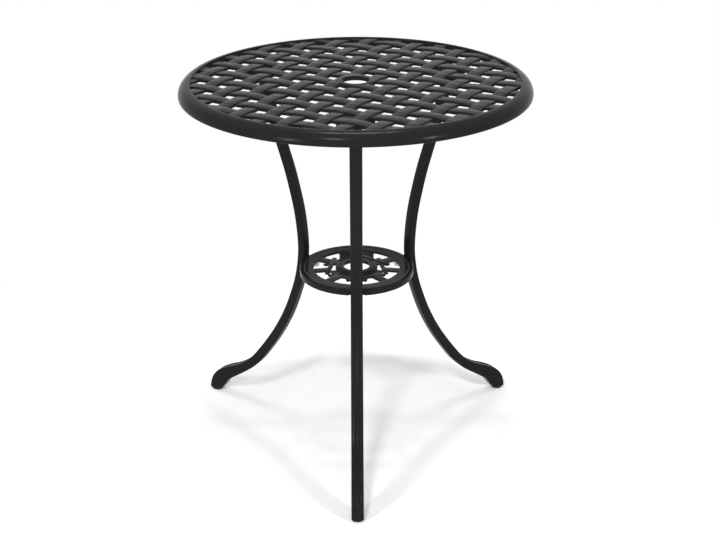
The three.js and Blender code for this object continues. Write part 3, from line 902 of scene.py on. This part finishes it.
topBolt, topWasher, topSpring = hexBolt("topBolt", fastener["topShank"]), flatWasher(), splitWasher()
for number, across in ((1, -1), (2, 1)):
    for pattern, name, base, node in ((topBolt, "topBolt", "topBase", "top_bolt"),
                                      (topSpring, "topSpringWasher", "springBase", "top_lock_washer"),
                                      (topWasher, "topWasher", "washerBase", "top_washer")):
        place = Matrix.Translation((bolting["middle"], across * bolting["holeSpacing"] / 2, fastener[base]))
        single = copyOf(pattern, "single", Matrix())
        spreadToLegs(single, name + str(number), "root", "zinc_steel", zinc, node + "_{}_" + str(number),
                     place)
lying = Matrix.Rotation(math.pi / 2, 4, "Y")
spreadToLegs(hexBolt("shelfScrew", fastener["shelfShank"]), "shelfScrew", "root", "zinc_steel", zinc,
             "shelf_screw_{}", Matrix.Translation((fastener["shelfFace"], 0, shelf["screwHeight"])) @ lying)
spreadToLegs(topWasher, "shelfWasher", "root", "zinc_steel", zinc, "shelf_washer_{}",
             Matrix.Translation((fastener["shelfWasher"], 0, shelf["screwHeight"])) @ lying)
for pattern in (topBolt, topSpring):
    bpy.data.objects.remove(pattern)
print("bolts and washers done")


# Levelling glides: brass insert in the foot, threaded stud and nylon pad

glide = {
    "radius": 0.004,
    "core": 0.0033,
    "pitch": 0.00125,
    "studLow": 0.0017,
    "studHigh": 0.0193,
    "insert": (0.0043, 0.0062, 0.0043, 0.0193),   # bore, outer radius, low and high
    "insertRounds": (0.0004, 0.0004, 0, 0, 0, 0, 0.0004, 0.0004),
    "groove": (0.0006, 0.0016, 0.001),            # depth, half its mouth and half its floor
    "padRadius": 0.0104,
    "padHeight": 0.004,
    "padTaper": (0.0006, 0.0016),                 # inwards at the sole, and how high it ends
    "padRounds": (0, 0.0012, 0.001, 0.0008, 0.0003, 0, 0),
    "socket": (0.0043, 0.0014),                   # radius and floor
    "sides": 64,
}


def brassInsert():
    bore, outer, low, high = glide["insert"]
    depth, mouth, floor = glide["groove"]
    middle = (low + high) / 2
    places = ((bore, low), (outer, low), (outer, middle - mouth), (outer - depth, middle - floor),
              (outer - depth, middle + floor), (outer, middle + mouth), (outer, high), (bore, high))
    sleeve = turned("insert", softOutline(places, glide["insertRounds"], 3), glide["sides"])
    smoothBy(sleeve, 35)
    return sleeve


def nylonPad():
    radius, high = glide["padRadius"], glide["padHeight"]
    bore, floor = glide["socket"]
    inwards, upTo = glide["padTaper"]
    places = ((0, 0), (radius - inwards, 0), (radius, upTo), (radius, high), (bore, high), (bore, floor),
              (0, floor))
    pad = turned("pad", softOutline(places, glide["padRounds"], 4), glide["sides"])
    smoothBy(pad, 40)
    return pad


stud = thread("stud", glide["radius"], glide["core"], glide["pitch"], glide["studLow"], glide["studHigh"],
              around=28, rowsPerTurn=7, bevel=0.8)
smoothBy(stud, 32)
underFoot = Matrix.Translation((leg["footMiddle"], 0, 0))
spreadToLegs(stud, "glideStud", "{}_stud", "zinc_steel", zinc, "glide_stud_{}", underFoot)
spreadToLegs(brassInsert(), "footInsert", "root", "brass_insert", brass, "foot_insert_{}", underFoot)
spreadToLegs(nylonPad(), "glidePad", "{}_pad", "pad_plastic", nylon, "glide_pad_{}", underFoot)
print("glides done")


# Camera, as the photograph was taken

view = {
    "lens": 74.17,
    "sensorWidth": 36,
    "elevation": 23.336,
    "roll": -0.274,
    "distance": 2.6316,
    "target": (0.0025, 0.0, 0.3181),   # from the table's axis
    "farthest": 60,
}


def makeCamera():
    rise, tilt = math.radians(view["elevation"]), math.radians(view["roll"])
    back = Vector((0, -math.cos(rise), math.sin(rise)))
    side = Vector((1, 0, 0))
    upward = back.cross(side)
    right = side * math.cos(tilt) + upward * math.sin(tilt)
    upward = back.cross(right)
    target = tableAxis + Vector(view["target"])
    bpy.ops.object.camera_add()
    camera = bpy.context.object
    camera.name = "photoCamera"
    turn = Matrix((right, upward, back)).transposed().to_4x4()
    camera.matrix_world = Matrix.Translation(target + back * view["distance"]) @ turn
    camera.data.lens = view["lens"]
    camera.data.sensor_width = view["sensorWidth"]
    camera.data.clip_end = view["farthest"]
    bpy.context.scene.camera = camera


# Stage: pale floor and white surroundings

stage = {
    "floorRadius": 20,
    "floorSides": 96,
    "floorShade": 0.97,
    "floorSeen": 1.52,         # camera and reflections see the lit floor this pale, so that it is white
    "floorGlow": (0.12, 1.0),  # share of the floor's look that is plain white, near and far
    "glowFrom": 0.45,          # how far from the table that share starts to grow
    "glowTo": 1.05,
    "surroundings": 0.28,      # strength of the light from all round
    "lampAim": (0, 0, 0.45),
}


def largerOf(nodes, links, first, second):
    node = nodes.new("ShaderNodeMath")
    node.operation = "MAXIMUM"
    links.new(first, node.inputs[0])
    links.new(second, node.inputs[1])
    return node.outputs[0]


def makeFloor():
    bpy.ops.mesh.primitive_circle_add(vertices=stage["floorSides"], radius=stage["floorRadius"],
                                      fill_type="NGON")
    floor = bpy.context.object
    floor.name = "floor"
    material = bpy.data.materials.new("paleFloor")
    material.use_nodes = True
    nodes, links = material.node_tree.nodes, material.node_tree.links
    nodes.remove(nodes["Principled BSDF"])
    matt = nodes.new("ShaderNodeBsdfDiffuse")
    paler = nodes.new("ShaderNodeMath")
    paler.operation = "MULTIPLY_ADD"
    paler.inputs[1].default_value = stage["floorSeen"] - stage["floorShade"]
    paler.inputs[2].default_value = stage["floorShade"]
    links.new(paler.outputs[0], matt.inputs["Color"])
    glow = nodes.new("ShaderNodeEmission")
    seen = nodes.new("ShaderNodeLightPath")
    inView = largerOf(nodes, links, seen.outputs["Is Camera Ray"], seen.outputs["Is Glossy Ray"])
    share = nodes.new("ShaderNodeMath")
    share.operation = "MULTIPLY"
    place = nodes.new("ShaderNodeTexCoord")
    away = nodes.new("ShaderNodeVectorMath")
    away.operation = "LENGTH"
    fade = nodes.new("ShaderNodeMapRange")
    fade.interpolation_type = "SMOOTHSTEP"
    for socket, value in zip(("From Min", "From Max", "To Min", "To Max"),
                             (stage["glowFrom"], stage["glowTo"], *stage["floorGlow"])):
        fade.inputs[socket].default_value = value
    links.new(place.outputs["Object"], away.inputs[0])
    links.new(away.outputs["Value"], fade.inputs["Value"])
    links.new(inView, share.inputs[0])
    links.new(fade.outputs["Result"], share.inputs[1])
    links.new(inView, paler.inputs[0])
    mix = nodes.new("ShaderNodeMixShader")
    links.new(share.outputs[0], mix.inputs["Fac"])
    links.new(matt.outputs[0], mix.inputs[1])
    links.new(glow.outputs[0], mix.inputs[2])
    clear = nodes.new("ShaderNodeBsdfTransparent")
    facing = nodes.new("ShaderNodeNewGeometry")
    oneWay = nodes.new("ShaderNodeMixShader")
    links.new(facing.outputs["Backfacing"], oneWay.inputs["Fac"])
    links.new(mix.outputs[0], oneWay.inputs[1])
    links.new(clear.outputs[0], oneWay.inputs[2])
    links.new(oneWay.outputs[0], nodes["Material Output"].inputs["Surface"])
    floor.data.materials.append(material)


def makeSurroundings():
    world = bpy.data.worlds.new("studio")
    bpy.context.scene.world = world
    world.use_nodes = True
    nodes, links = world.node_tree.nodes, world.node_tree.links
    plain = nodes["Background"]
    plain.inputs["Strength"].default_value = stage["surroundings"]
    plain.inputs["Color"].default_value = (1, 1, 1, 1)
    white = nodes.new("ShaderNodeBackground")
    white.inputs["Color"].default_value = (1, 1, 1, 1)
    seen = nodes.new("ShaderNodeLightPath")
    direct = largerOf(nodes, links, seen.outputs["Is Camera Ray"], seen.outputs["Is Transmission Ray"])
    inView = largerOf(nodes, links, direct, seen.outputs["Is Glossy Ray"])
    mix = nodes.new("ShaderNodeMixShader")
    links.new(inView, mix.inputs["Fac"])
    links.new(plain.outputs[0], mix.inputs[1])
    links.new(white.outputs[0], mix.inputs[2])
    links.new(mix.outputs[0], nodes["World Output"].inputs["Surface"])


lamps = {
    "overhead": {"place": (0, 0.3, 2.5), "size": (0.7, 0.14), "power": 22},
    "left": {"place": (-1.7, -2.1, 1.0), "size": (0.16, 0.5), "power": 22},
    "right": {"place": (1.9, -1.9, 1.1), "size": (0.16, 0.5), "power": 22},
    "front": {"place": (-0.5, -1.9, 2.2), "size": (0.35, 0.19), "power": 18},
}


def makeLamps():
    for name, lamp in lamps.items():
        bpy.ops.object.light_add(type="AREA", location=lamp["place"])
        light = bpy.context.object
        light.name = name
        light.data.shape = "RECTANGLE"
        light.data.size, light.data.size_y = lamp["size"]
        light.data.energy = lamp["power"]
        aim = Vector(stage["lampAim"]) - Vector(lamp["place"])
        light.rotation_euler = aim.to_track_quat("-Z", "Y").to_euler()


makeCamera()
makeFloor()
makeSurroundings()
makeLamps()
bpy.context.scene.view_settings.view_transform = "Standard"
print("camera and stage made")
